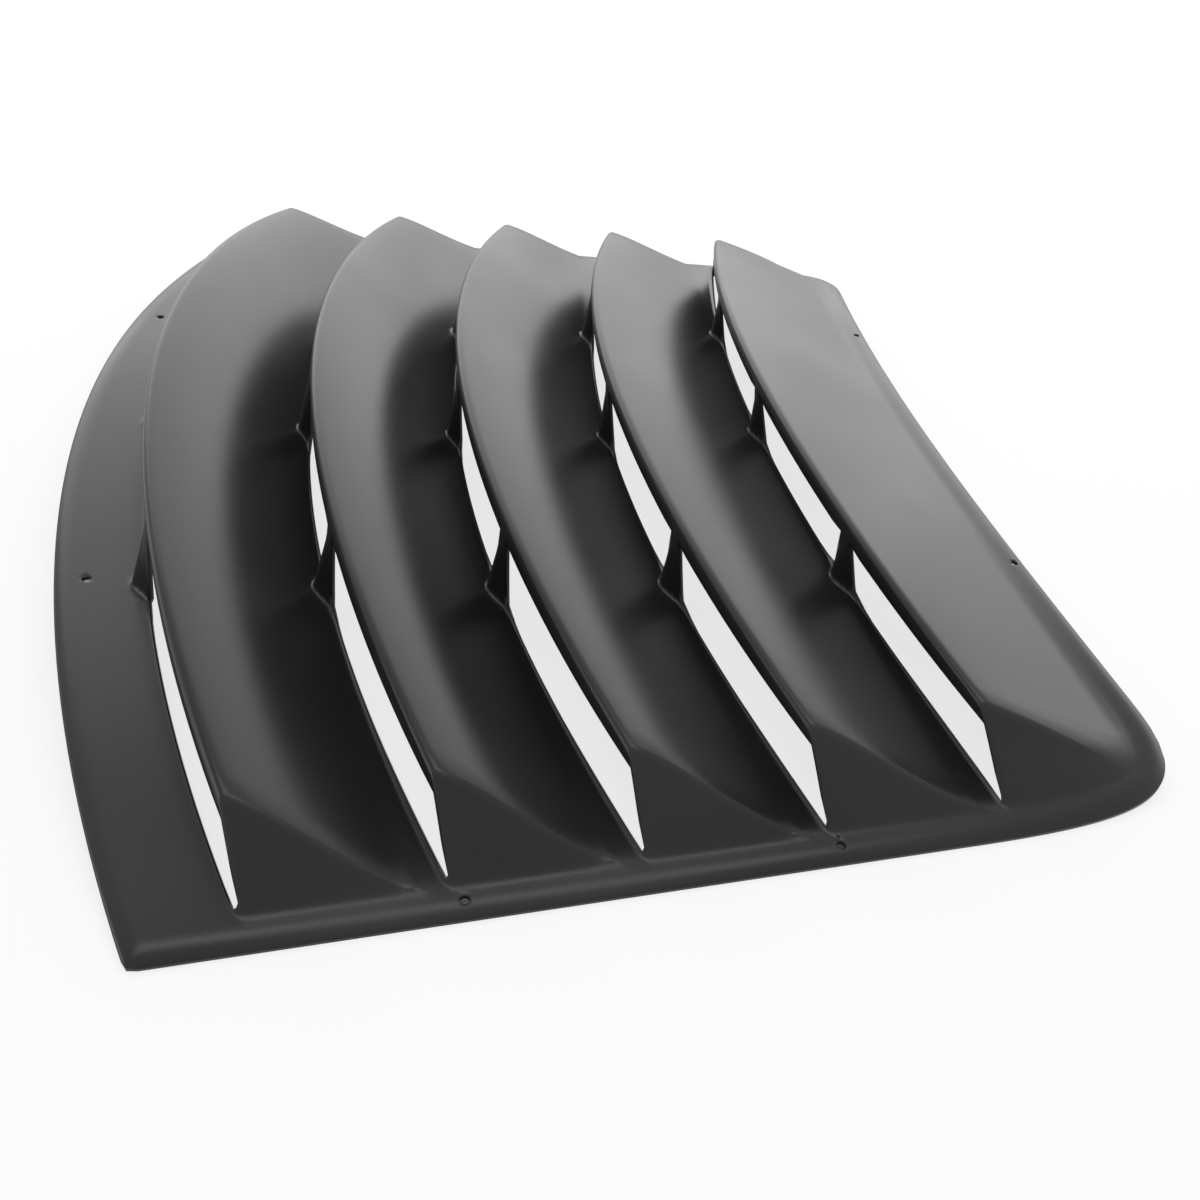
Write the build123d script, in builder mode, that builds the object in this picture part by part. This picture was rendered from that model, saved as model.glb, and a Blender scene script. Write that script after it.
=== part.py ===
from build123d import *
from math import asin, atan, cos, hypot, pi, sin, sqrt, tan
import os

# Rear window louver: one formed sheet of black ABS that covers the whole back glass.
# X runs from the rear edge (-X, at the boot) to the roof edge (+X), Y across the car,
# Z up from the surface on which the two straight side edges lie.  All sizes in mm.

os.makedirs("parts", exist_ok=True)

# sheet and outline
THICK = 3.5                 # wall of the formed sheet
SIDE_X = 412.5              # the straight side edges run from -SIDE_X ...
ROOF_X = 404.0              # ... to here, but for the roof corners
REAR_HALF = 590.0           # half width at the rear corners
FRONT_HALF = 508.7          # half width where side and roof edges would meet
REAR_BOW = 117.0            # how far the rear edge bulges out at the middle
FRONT_BOW = 68.5            # how far the roof edge curves in at the middle
REAR_CORNER_R = 7.0
CORNER_SIDE = 215.0         # the roof corner starts to turn this far back along the side ...
CORNER_ROOF = 103.0         # ... and ends this far along the roof edge
CORNER_PULL = 0.81          # how closely it keeps to the two edges
SKIRT = 8.0                 # the edge is turned down this far below the flange
EDGE_R = 6.5                # round of the turned-down edge
CROWN_MIN = 20.0            # rise of the sheet across the car where it is flattest
CROWN_X = -90.0             # where along the car that is
CROWN_GAIN = 26.0           # extra rise CROWN_SPAN mm away from that place
CROWN_SPAN = 430.0
CROWN_ENDS = (-620.0, 500.0)    # sections of the sheet, well past both ends

# side walls of the raised field
FLANGE = 23.0               # flat flange between the side edge and the wall foot
WALL_LEAN = 49.0            # the wall leans in this far ...
WALL_RISE = 62.0            # ... over this height
FIELD_ENDS = (-700.0, 600.0)    # the walls are cut straight over this length
FIELD_TOP = 220.0           # and up to here, above the highest lip

# the five vanes, rear to front
LIP_X = (-354.0, -216.0, -75.5, 66.0, 212.0)    # lip at its ends
LIP_END = (510.0, 496.0, 484.0, 476.0, 468.0)   # half width of the lip
LIP_BOW = (94.5, 91.0, 91.0, 82.5, 70.5)        # bulge to the rear at the middle
LIP_Z = 70.5                                    # height of the lip at its ends
LIP_CROWN = (59.0, 51.0, 44.0, 39.5, 37.0)      # extra height at the middle
NOSE_R = 6.5                # round along the lip
NOSE_BACK = 4.0             # the face stands this far to the rear of the lip line
FACE_FOOT_MID = (-8.0, -6.0, 1.0, 8.0, 12.5)    # foot of the face from the lip line, at the middle
FACE_FOOT_END = (10.5, 9.0, 8.0, 8.5, 10.0)     # and at the side wall
TOP_SLOPE = 0.32            # fall of the top just behind the lip
FOOT_SLOPE = 0.30           # fall of the top where it runs out
START_PULL = 0.22           # how long the top stays flat before it dives
END_PULL = 0.30             # how long it flattens out at the foot
FOOT_PAST = 4.0             # the foot runs this far under the next face
FOOT_LIFT = 1.2             # and ends this far above the base sheet, but at the side walls
FOOT_SHORT = 20.0           # it stops this much sooner ...
FOOT_SINK = 3.0             # ... and this much lower
RIDGE_R = 6.0               # round between a vane top and its side wall
RIDGE_FROM = 56.0           # the edges of the wall that reach this high are its ridge
STATIONS = (-600.0, -300.0, 0.0, 300.0, 600.0)  # side views of a vane, across the car

# foot of the last vane, on the roof flange
CREASE_X = 318.0            # where it ends at the middle
CREASE_BOW = 34.0           # it curves forward by this at CREASE_HALF
CREASE_HALF = 420.0
CREASE_PAST = 6.0           # the top dips into the flange this far past the crease ...
CREASE_SINK = 2.5           # ... and this deep
LAST_SLOPE = 0.34
CORNER_FLANGE = 19.0        # the last vane keeps this far inside the rounded roof corners

# openings and gussets
RISER = 19.0                # lip line to the upper edge of the openings
END_RIM = 9.0               # face left standing beside the side walls
RIB_AT = (-245.0, 0.0)      # one gusset at the middle and one out on each side
RIB_HALF = 21.0             # half width at the foot
RIB_HALF_TOP = 9.0
RIB_OUT = 17.0              # how far the foot stands out to the rear
RIB_OUT_TOP = 2.0
RIB_ENDS = (-0.35, 1.2)     # the gusset runs past the foot and the riser, as shares of its height
HOLLOW_ENDS = (-0.4, 0.97)  # its hollow stops short of the riser
RIB_WALL_TIP = 1.3          # wall at the tip of the V and at its sides, in sheet thicknesses
RIB_WALL_SIDE = 1.45
RIB_ROOT = 1.5              # the gusset bites this far into the face
HOLLOW_ROOT = 6.0           # and its hollow runs this far out behind the face

# screw holes
HOLE_R = 3.0
DIMPLE_R = 6.3
DIMPLE_RISE = 0.4           # middle of the dimple cone, above the sheet
DIMPLE_DEEP = 2.4
REAR_HOLES = (-485.0, 240.0)
FRONT_HOLES = (339.5, 235.0)
SIDE_HOLES = ((-198.0, 12.5), (80.0, 12.5))     # place along the car, distance from the edge

# solids that are cut away later
DEEP = -40.0                # they start down here
STAGGER = 2.0               # each next vane starts this much higher
PAST = 60.0                 # how far a cutter runs past what it cuts
FACE_BAND = (-2.0, 8.5)     # the window cutters reach from before the face to behind it


def side_half(x):
    """Half width of the outline at x, between the straight side edges."""
    return REAR_HALF + (FRONT_HALF - REAR_HALF) * (x + SIDE_X) / (ROOF_X + SIDE_X)


def crown(x):
    """Rise of the base sheet across the car at x."""
    return CROWN_MIN + CROWN_GAIN * ((x - CROWN_X) / CROWN_SPAN) ** 2


def sheet_z(x, y):
    """Height of the top of the base sheet."""
    return SKIRT + crown(x) * (1 - (y / side_half(x)) ** 2)


def side_direction():
    """Direction of the near side edge, towards the roof."""
    length = hypot(ROOF_X + SIDE_X, REAR_HALF - FRONT_HALF)
    return (ROOF_X + SIDE_X) / length, (REAR_HALF - FRONT_HALF) / length


def rear_corner(inset):
    """Near rear corner of the outline, where its side and its rear arc meet, set in by inset."""
    ux, uy = side_direction()
    r = (REAR_BOW ** 2 + REAR_HALF ** 2) / (2 * REAR_BOW)
    x, y = -SIDE_X - inset * uy, -REAR_HALF + inset * ux
    from_centre = x + SIDE_X + REAR_BOW - r
    along = from_centre * ux + y * uy
    step = -along - sqrt(along ** 2 - from_centre ** 2 - y ** 2 + (r - inset) ** 2)
    return x + step * ux, y + step * uy


def roof_corner(inset):
    """Start, two pulls and end of the near roof corner's curve, set in by inset."""
    ux, uy = side_direction()
    r = (FRONT_BOW ** 2 + FRONT_HALF ** 2) / (2 * FRONT_BOW)
    turn = asin(FRONT_HALF / r) - CORNER_ROOF / r
    side_in, roof_in = (-inset * uy, inset * ux), (-inset * cos(turn), -inset * sin(turn))
    end_x, end_y = ROOF_X - FRONT_BOW + r - r * cos(turn), -r * sin(turn)
    left, pull = CORNER_SIDE * (1 - CORNER_PULL), CORNER_ROOF * CORNER_PULL
    return ((ROOF_X - CORNER_SIDE * ux + side_in[0], -FRONT_HALF - CORNER_SIDE * uy + side_in[1]),
            (ROOF_X - left * ux + side_in[0], -FRONT_HALF - left * uy + side_in[1]),
            (end_x + pull * sin(turn) + roof_in[0], end_y - pull * cos(turn) + roof_in[1]),
            (end_x + roof_in[0], end_y + roof_in[1]))


def wall_shift(z, inset):
    """How far the leaning side wall stands in from the edge at height z."""
    lean = WALL_LEAN / WALL_RISE
    return FLANGE + inset * hypot(1, lean) + lean * (z - SKIRT)


def lip_x(k, y):
    return LIP_X[k] - LIP_BOW[k] * (1 - (y / LIP_END[k]) ** 2)


def lip_z(k, y):
    return LIP_Z + LIP_CROWN[k] * (1 - (y / LIP_END[k]) ** 2)


def face_foot_x(k, y):
    """Place of the foot of the face of vane k, on the base sheet."""
    corner = side_half(LIP_X[k]) - FLANGE
    middle = LIP_X[k] - LIP_BOW[k] + FACE_FOOT_MID[k]
    return middle + (LIP_X[k] + FACE_FOOT_END[k] - middle) * (y / corner) ** 2


def nose(k, y):
    """Centre of the round along the lip."""
    return lip_x(k, y) - NOSE_BACK + NOSE_R, lip_z(k, y) - NOSE_R


def face_angle(k, y):
    """Tilt of the face from the vertical, so that it runs into the nose without a kink."""
    cx, cz = nose(k, y)
    fx = face_foot_x(k, y)
    fz = sheet_z(fx, y)
    reach = hypot(cx - fx, cz - fz)
    return asin(NOSE_R / reach) - asin((cx - fx) / reach)


def face_x(k, y, z):
    """The straight face of vane k at height z."""
    fx = face_foot_x(k, y)
    return fx - (z - sheet_z(fx, y)) * tan(face_angle(k, y))


def foot(k, y):
    """Where the top of vane k runs out: at the next face, or at the roof crease."""
    if k + 1 < len(LIP_X):
        at_end = (y / (side_half(LIP_X[k]) - FLANGE)) ** 2
        x = face_foot_x(k + 1, y) + FOOT_PAST - FOOT_SHORT * at_end
        return x, sheet_z(x, y) + FOOT_LIFT - FOOT_SINK * at_end, FOOT_SLOPE
    x = CREASE_X + CREASE_BOW * (y / CREASE_HALF) ** 2
    return x + CREASE_PAST, sheet_z(x, y) - CREASE_SINK, LAST_SLOPE


def side_view(y):
    """Plane across which a side view at station y is drawn, with X to the right."""
    return Plane(origin=(0, y, 0), x_dir=(1, 0, 0), z_dir=(0, -1, 0))


def vane_section(k, y, inset):
    """Closed side view of vane k at station y.

    The hollow is the same view set in by the wall thickness, with a plain bevel under the nose.
    """
    top, tilt = atan(TOP_SLOPE), face_angle(k, y)
    cx, cz = nose(k, y)
    r = NOSE_R - inset
    half_way = (top - pi / 2 + tilt) / 2
    p_face = (cx - r * cos(tilt), cz - r * sin(tilt))
    p_mid = (cx + r * sin(half_way), cz + r * cos(half_way))
    p_top = (cx + r * sin(top), cz + r * cos(top))
    fx, fz, slope = foot(k, y)
    fall = atan(slope)
    end = (fx - inset * sin(fall), fz - inset * cos(fall))
    span = end[0] - p_top[0]
    h0 = (p_top[0] + START_PULL * span, p_top[1] - START_PULL * span * TOP_SLOPE)
    h1 = (end[0] - END_PULL * span, end[1] + END_PULL * span * slope)
    deep = DEEP + STAGGER * k + inset
    low = (face_x(k, y, deep) + inset / cos(tilt), deep)
    with BuildSketch(side_view(y)) as sk:
        with BuildLine():
            Line(low, p_face)
            if inset:
                Line(p_face, p_top)
            else:
                ThreePointArc(p_face, p_mid, p_top)
            Bezier(p_top, h0, h1, end)
            Line(end, (end[0], deep))
            Line((end[0], deep), low)
        make_face()
    return sk.sketch


def sheet_section(x, drop):
    """Crowned section of the base sheet across the car at x."""
    w, z = side_half(x), SKIRT - drop
    far, low = w + PAST, DEEP - PAST
    with BuildSketch(Plane(origin=(x, 0, 0), x_dir=(0, 1, 0), z_dir=(1, 0, 0))) as sk:
        with BuildLine():
            ThreePointArc((-w, z), (0, z + crown(x)), (w, z))
            Polyline((w, z), (far, z), (far, low), (-far, low), (-far, z), (-w, z))
        make_face()
    return sk.sketch


def outline(inset):
    """Plan of the louver, set in all round by inset."""
    rear, corner = rear_corner(inset), roof_corner(inset)
    far_rear, far_corner = (rear[0], -rear[1]), [(x, -y) for x, y in reversed(corner)]
    with BuildSketch() as sk:
        with BuildLine():
            Line(rear, corner[0])
            Bezier(*corner)
            ThreePointArc(corner[-1], (ROOF_X - FRONT_BOW - inset, 0), far_corner[0])
            Bezier(*far_corner)
            Line(far_corner[-1], far_rear)
            ThreePointArc(far_rear, (-SIDE_X - REAR_BOW + inset, 0), rear)
        make_face()
        if inset < REAR_CORNER_R:
            fillet(sk.vertices().group_by(Axis.Y)[0].sort_by(Axis.X)[0], REAR_CORNER_R - inset)
            fillet(sk.vertices().group_by(Axis.Y)[-1].sort_by(Axis.X)[0], REAR_CORNER_R - inset)
    return sk.sketch


def wall_field(inset):
    """Block from the middle to the leaning near side wall, which trims the vanes."""
    x0, x1 = FIELD_ENDS
    with BuildPart() as block:
        for z in (DEEP - PAST, FIELD_TOP):
            shift = wall_shift(z, inset)
            with BuildSketch(Plane.XY.offset(z)):
                with BuildLine():
                    Polyline((x0, shift - side_half(x0)), (x1, shift - side_half(x1)),
                             (x1, 0), (x0, 0), close=True)
                make_face()
        loft(ruled=True)
    return block.part


def crowned_sheet(drop):
    """Solid under the base sheet, lowered by drop."""
    with BuildPart() as sheet:
        loft(sections=[sheet_section(x, drop) for x in (CROWN_ENDS[0], CROWN_X, CROWN_ENDS[1])])
    return sheet.part


def flange_block(inset):
    """Near half of the solid under the base sheet, rounded along its edge, or its hollow."""
    with BuildPart() as block:
        add(crowned_sheet(inset))
        with BuildSketch(Plane.XY.offset(DEEP)):
            add(outline(inset))
        extrude(amount=FIELD_TOP, mode=Mode.INTERSECT)
        if not inset:
            fillet(block.faces().sort_by(Axis.Z)[-1].edges(), EDGE_R)
        split(bisect_by=Plane.XZ, keep=Keep.TOP)
    return block.part


def vane_block(k, inset):
    """Near half of vane k, with its ridge rounded."""
    with BuildPart() as block:
        loft(sections=[vane_section(k, y, inset) for y in STATIONS])
        add(wall_field(inset), mode=Mode.INTERSECT)
        if not inset:
            wall = block.faces().sort_by(Axis.Y)[0]
            fillet([e for e in wall.edges() if e.center().Z > 0
                    and e.bounding_box().max.Z > RIDGE_FROM], RIDGE_R)
        if k + 1 == len(LIP_X):
            with BuildSketch(Plane.XY.offset(DEEP)):
                add(outline(CORNER_FLANGE + inset))
            extrude(amount=FIELD_TOP, mode=Mode.INTERSECT)
    return block.part


def rib_rise(k, y):
    """Bottom and top of a gusset on the face of vane k."""
    return sheet_z(lip_x(k, y), y), lip_z(k, y) - RISER


def rib_block(k, y, inset):
    """V-shaped gusset in front of the face, or its hollow."""
    z0, z1 = rib_rise(k, y)
    back = HOLLOW_ROOT + inset if inset else RIB_ROOT
    with BuildPart() as block:
        for share in HOLLOW_ENDS if inset else RIB_ENDS:
            z = z0 + share * (z1 - z0)
            out = RIB_OUT + share * (RIB_OUT_TOP - RIB_OUT) - RIB_WALL_TIP * inset
            half = RIB_HALF + share * (RIB_HALF_TOP - RIB_HALF) - RIB_WALL_SIDE * inset
            near, far = face_x(k, y - half, z), face_x(k, y + half, z)
            with BuildSketch(Plane.XY.offset(z)):
                with BuildLine():
                    Polyline((face_x(k, y, z) - out, y), (near + inset, y - half),
                             (near + back, y - half), (far + back, y + half),
                             (far + inset, y + half), close=True)
                make_face()
        loft(ruled=True)
        if y == 0:
            split(bisect_by=Plane.XZ, keep=Keep.TOP)
    return block.part


def face_section(k, y):
    """Closed side view of a band along the face of vane k, a little wider than its wall."""
    z0, z1 = DEEP - STAGGER, lip_z(k, y)
    x0, x1 = face_x(k, y, z0), face_x(k, y, z1)
    before, behind = FACE_BAND
    with BuildSketch(side_view(y)) as sk:
        with BuildLine():
            Polyline((x0 + before, z0), (x1 + before, z1), (x1 + behind, z1),
                     (x0 + behind, z0), close=True)
        make_face()
    return sk.sketch


def face_band(k):
    """The whole face of vane k, from side to side."""
    with BuildPart() as band:
        loft(sections=[face_section(k, y) for y in STATIONS])
    return band.part


def window_sides(k):
    """Slanting side lines of the two openings of the near half: (y, z) low, (y, z) high."""
    wall = wall_shift(SKIRT, THICK) + END_RIM - side_half(LIP_X[k])
    y = wall + wall_shift(LIP_Z - RISER, 0) - wall_shift(SKIRT, 0)
    sides = [((wall, SKIRT), (y, lip_z(k, y) - RISER))]
    for at in RIB_AT:
        z0, z1 = rib_rise(k, at)
        sides.append(((at - RIB_HALF, z0), (at - RIB_HALF_TOP, z1)))
        sides.append(((at + RIB_HALF, z0), (at + RIB_HALF_TOP, z1)))
    return sides


def window_cut(k):
    """Tool that opens the face of vane k between its gussets and its side wall."""
    sides = window_sides(k)
    with BuildPart() as tool:
        with BuildSketch(Plane.YZ.offset(FIELD_ENDS[0])):
            for j in range(len(RIB_AT)):
                (low_a, high_a), (low_b, high_b) = sides[2 * j], sides[2 * j + 1]
                mid = (high_a[0] + high_b[0]) / 2
                with BuildLine():
                    Polyline(high_a, low_a, (low_a[0], DEEP), (low_b[0], DEEP), low_b, high_b)
                    ThreePointArc(high_a, (mid, lip_z(k, mid) - RISER), high_b)
                make_face()
        extrude(amount=FIELD_ENDS[1] - FIELD_ENDS[0])
        add(face_band(k), mode=Mode.INTERSECT)
    return tool.part


def screw_holes():
    """Plain holes with a shallow dimple, on the near half."""
    spots = [(x, -y) for x, y in (REAR_HOLES, FRONT_HOLES)]
    spots += [(x, from_edge - side_half(x)) for x, from_edge in SIDE_HOLES]
    with BuildPart() as cut:
        for x, y in spots:
            with Locations((x, y, sheet_z(x, y))):
                Cylinder(HOLE_R, 2 * SKIRT)
            with Locations((x, y, sheet_z(x, y) + DIMPLE_RISE)):
                Cone(HOLE_R, DIMPLE_R, DIMPLE_DEEP)
    return cut.part


def half_body(inset):
    """Sheet, vanes and gussets of the near half in one, set in by inset."""
    with BuildPart() as body:
        add(flange_block(inset))
        for k in range(len(LIP_X)):
            add(vane_block(k, inset))
        for k in range(len(LIP_X)):
            for y in RIB_AT:
                add(rib_block(k, y, inset))
    return body.part


# the near half: outer shape less its hollow, trimmed like the formed sheet, then opened
with BuildPart() as near_half:
    add(half_body(0.0))
    add(half_body(THICK), mode=Mode.SUBTRACT)
    add(crowned_sheet(SKIRT), mode=Mode.SUBTRACT)
    add([window_cut(k) for k in range(len(LIP_X))] + [screw_holes()], mode=Mode.SUBTRACT)

# the louver is alike on both sides: the two halves meet face to face
whole = near_half.part.fuse(near_half.part.mirror(Plane.XZ), glue=True)
box = whole.bounding_box()
panel = whole.moved(Location((-box.center().X, 0, -box.min.Z)))
panel.label = "louver_panel"
export_step(panel, "parts/louver_panel.step")
print("louver_panel", panel.is_valid, len(panel.solids()), "solids", round(panel.volume), "mm3")
print("box", box.min, box.max, "moved by", -box.center().X, -box.min.Z)
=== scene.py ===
# %% [markdown]
# A rear window louver is one sheet of black ABS, warmed and sucked down over a mould, then trimmed.
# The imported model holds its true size. This lesson forms the same sheet again as one smooth surface,
# with the small rounds that the mould gives it, and then gives it plastic, a floor and soft light.

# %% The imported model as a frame
import math
import bmesh
import bpy
import numpy as np
from mathutils import Matrix, Vector


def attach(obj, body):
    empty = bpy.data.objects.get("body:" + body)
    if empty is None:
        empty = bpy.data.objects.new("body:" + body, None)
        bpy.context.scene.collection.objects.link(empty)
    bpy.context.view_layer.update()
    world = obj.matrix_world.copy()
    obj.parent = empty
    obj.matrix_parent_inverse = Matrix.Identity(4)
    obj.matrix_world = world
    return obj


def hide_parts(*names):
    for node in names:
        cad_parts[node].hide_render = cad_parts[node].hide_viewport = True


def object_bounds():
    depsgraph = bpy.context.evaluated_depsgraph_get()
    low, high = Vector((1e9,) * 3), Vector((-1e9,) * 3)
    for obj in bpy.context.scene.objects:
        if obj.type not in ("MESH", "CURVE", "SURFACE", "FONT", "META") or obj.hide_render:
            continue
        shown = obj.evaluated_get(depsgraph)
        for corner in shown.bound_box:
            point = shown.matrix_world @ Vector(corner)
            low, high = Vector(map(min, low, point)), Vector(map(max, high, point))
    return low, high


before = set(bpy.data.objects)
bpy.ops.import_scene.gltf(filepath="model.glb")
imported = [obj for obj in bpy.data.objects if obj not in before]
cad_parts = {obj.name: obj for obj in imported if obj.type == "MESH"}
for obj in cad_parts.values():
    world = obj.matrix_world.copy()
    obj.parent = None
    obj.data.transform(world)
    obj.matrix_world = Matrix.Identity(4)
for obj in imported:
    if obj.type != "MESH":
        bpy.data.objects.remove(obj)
cad_box = [list(corner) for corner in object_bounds()]
print("louver", [round(b - a, 4) for a, b in zip(*cad_box)], "m")

# %% [markdown]
# The camera stands low beside the near edge and is tilted a little, as a hand-held shot is. Its
# place and its three turns were worked out from the straight edges and the corners of the louver.

# %% Camera
CAMERA_AT = Vector((-0.18102, -1.066275, 0.677914))
YAW, PITCH, ROLL = (math.radians(a) for a in (13.4715, 38.1067, 7.4104))
FOCAL_PX, PHOTO_PX, SENSOR_MM = 1203.62, 1200, 36.0

ahead = Vector((math.sin(YAW) * math.cos(PITCH), math.cos(YAW) * math.cos(PITCH), -math.sin(PITCH)))
level = Vector((math.cos(YAW), -math.sin(YAW), 0))
above = level.cross(ahead)
to_right = math.cos(ROLL) * level + math.sin(ROLL) * above
to_top = -math.sin(ROLL) * level + math.cos(ROLL) * above

lens = bpy.data.cameras.new("camera")
lens.sensor_width = SENSOR_MM
lens.lens = SENSOR_MM * FOCAL_PX / PHOTO_PX
camera = bpy.data.objects.new("camera", lens)
bpy.context.scene.collection.objects.link(camera)
turn = Matrix((to_right, to_top, -ahead)).transposed().to_4x4()
camera.matrix_world = Matrix.Translation(CAMERA_AT) @ turn
bpy.context.scene.camera = camera
bpy.context.scene.view_settings.view_transform = "Standard"
print("camera", [round(c, 3) for c in CAMERA_AT], "lens", round(lens.lens, 2), "mm")

# %% [markdown]
# The plan comes first: straight sides that draw together towards the roof, a rear edge that bulges,
# a roof edge that curves in, and two long rounded roof corners. All lengths are in millimetres, X
# runs to the roof, Y across the car and Z up. The louver is alike on both sides, so only the half
# with Y above nought is worked out.

# %% Sizes of the plan
SIDE_X, ROOF_X = 412.5, 404.0
REAR_HALF, ROOF_HALF = 590.0, 508.7
REAR_BOW, ROOF_BOW = 117.0, 68.5
TAPER = (REAR_HALF - ROOF_HALF) / (ROOF_X + SIDE_X)
ALONG = np.array([1, -TAPER]) / np.hypot(1, TAPER)
OUT = np.array([-ALONG[1], ALONG[0]])


def side_half(x):
    """Half width between the straight side edges: it falls evenly towards the roof."""
    return REAR_HALF - TAPER * (x + SIDE_X)


print("the sides draw in by", round(math.degrees(math.atan(TAPER)), 2), "degrees each")

# %% [markdown]
# The sheet's edge is rolled down, so the same plan is needed twice: at the very edge, and set in by
# the roll. Both arcs are given by how far they bow over half their width.

# %% Rear and roof arcs
CORNER_SIDE, CORNER_ROOF, CORNER_PULL = 215.0, 103.0, 0.81


def radius_of(bow, half):
    """Squares of the bow and of half the chord, over twice the bow."""
    return (bow ** 2 + half ** 2) / (2 * bow)


def arc(centre_x, radius, swing):
    """Points at the angles swing about a centre on the X axis: minus cosine and sine times radius."""
    swing = swing[:, None]
    return np.hstack([centre_x - radius * np.cos(swing), radius * np.sin(swing)])


def rear_arc(inset):
    """Arc from the middle to where it meets the side edge, which is set in as well."""
    radius = radius_of(REAR_BOW, REAR_HALF)
    centre_x = radius - SIDE_X - REAR_BOW
    corner = np.array([-SIDE_X - centre_x, REAR_HALF]) - inset * OUT
    back = corner @ ALONG
    corner = corner - ALONG * (back + np.sqrt(back ** 2 - corner @ corner + (radius - inset) ** 2))
    return arc(centre_x, radius - inset, np.linspace(0, np.arcsin(corner[1] / (radius - inset)), 200))


def roof_arc(inset):
    """Arc from where the corner's bend ends to the middle, and the angle at which it starts."""
    radius = radius_of(ROOF_BOW, ROOF_HALF)
    start = np.arcsin(ROOF_HALF / radius) - CORNER_ROOF / radius
    return arc(ROOF_X - ROOF_BOW + radius, radius + inset, np.linspace(start, 0, 100)), start


print("radius of the rear arc", round(radius_of(REAR_BOW, REAR_HALF)), "mm")

# %% [markdown]
# A cubic Bezier curve bends the side edge round into the roof arc. The three lines that come out are
# what the rows and columns of the sheet will run along.

# %% Plan line
EDGE_R = 6.5


def bezier(c, t):
    """Cubic Bezier curve: its four points weighed by (1-t)^3, 3t(1-t)^2, 3t^2(1-t) and t^3."""
    return (1 - t) ** 3 * c[0] + 3 * t * (1 - t) ** 2 * c[1] + 3 * t ** 2 * (1 - t) * c[2] + t ** 3 * c[3]


def plan_line(inset):
    """Rear, side and roof lines. The bend is cut between the last two where it runs at 45 degrees."""
    rear = rear_arc(inset)
    roof, start = roof_arc(inset)
    corner = np.array([ROOF_X, ROOF_HALF]) - inset * OUT
    from_side = corner - CORNER_SIDE * ALONG
    pull_side = corner - CORNER_SIDE * (1 - CORNER_PULL) * ALONG
    pull_roof = roof[0] + CORNER_ROOF * CORNER_PULL * np.array([np.sin(start), np.cos(start)])
    bend = bezier([from_side, pull_side, pull_roof, roof[0]], np.linspace(0, 1, 200)[:, None])
    step = np.gradient(bend, axis=0)
    cut = int(np.argmin(np.abs(step[:, 0] + step[:, 1])))
    side = rear[-1] + np.linspace(0, 1, 100)[:, None] * (from_side - rear[-1])
    return rear, np.vstack([side, bend[1:cut + 1]]), np.vstack([bend[cut:-1], roof])


REAR_LINE, SIDE_LINE, ROOF_LINE = plan_line(EDGE_R)
OUTER_REAR, OUTER_SIDE, OUTER_ROOF = plan_line(0.0)
print("rear corner", REAR_LINE[-1].round(1), "roof corner", ROOF_LINE[0].round(1))

# %% [markdown]
# The flange and everything between the vanes belong to one crowned sheet, which follows the glass.
# It is flattest a little behind the middle of the car glass and rises more towards both ends.

# %% Crowned base sheet
SKIRT = 8.0
CROWN_LEAST, CROWN_X, CROWN_GAIN, CROWN_SPAN = 20.0, -90.0, 26.0, 430.0


def sheet_z(x, y):
    """Height: skirt, plus a crown that falls off with the square of y over the half width.

    The crown itself grows with the square of the distance from its flattest place.
    """
    crown = CROWN_LEAST + CROWN_GAIN * ((x - CROWN_X) / CROWN_SPAN) ** 2
    return SKIRT + crown * (1 - (y / side_half(x)) ** 2)


print("sheet at the middle", round(float(sheet_z(0.0, 0.0)), 1), "mm")

# %% [markdown]
# Five vanes stand on the sheet. Each lip is a shallow parabola in plan, bulging to the rear, and is
# higher at the middle. From the lip a face goes down steeply to the rear, and a top falls to the
# foot of the next face in a slow S. One table per size, a value for each vane, keeps them related.

# %% Lips, faces and tops
VANES = 5
LIP_X = np.array([-354.0, -216.0, -75.5, 66.0, 212.0])
LIP_HALF = np.array([510.0, 496.0, 484.0, 476.0, 468.0])
LIP_BOW = np.array([94.5, 91.0, 91.0, 82.5, 70.5])
LIP_Z = 70.5
LIP_CROWN = np.array([59.0, 51.0, 44.0, 39.5, 37.0])
NOSE_R, NOSE_BACK = 6.5, 4.0
FACE_FOOT_MIDDLE = np.array([-8.0, -6.0, 1.0, 8.0, 12.5])
FACE_FOOT_END = np.array([10.5, 9.0, 8.0, 8.5, 10.0])
FLANGE = 23.0


def lip(k, y):
    """Rear line and height of the lip: both change with the square of y over the lip's half width."""
    bulge = 1 - (y / LIP_HALF[k]) ** 2
    return LIP_X[k] - LIP_BOW[k] * bulge, LIP_Z + LIP_CROWN[k] * bulge


def nose(k, y):
    """Centre of the round that follows the lip."""
    x, z = lip(k, y)
    return x - NOSE_BACK + NOSE_R, z - NOSE_R


def face_foot(k, y):
    """Foot of the face on the sheet: a parabola through its middle place and its end place."""
    middle = LIP_X[k] - LIP_BOW[k] + FACE_FOOT_MIDDLE[k]
    end = LIP_X[k] + FACE_FOOT_END[k]
    x = middle + (end - middle) * (y / (side_half(LIP_X[k]) - FLANGE)) ** 2
    return x, sheet_z(x, y)


def face_lean(k, y):
    """Run of the face for each unit of height, where it is tangent to the nose circle."""
    cx, cz = nose(k, y)
    fx, fz = face_foot(k, y)
    reach = np.hypot(cx - fx, cz - fz)
    return np.tan(np.arcsin(NOSE_R / reach) - np.arcsin((cx - fx) / reach))


print("lips at the middle", [round(float(lip(k, 0.0)[1]), 1) for k in range(VANES)], "mm high")

# %% [markdown]
# The top leaves the nose circle at a set slope and runs out near the next face at another: a cubic
# Bezier curve does that with four points. At the side walls it runs out sooner and lower, and there
# it also dives earlier. The last top ends at a crease on the roof flange instead.

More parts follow.
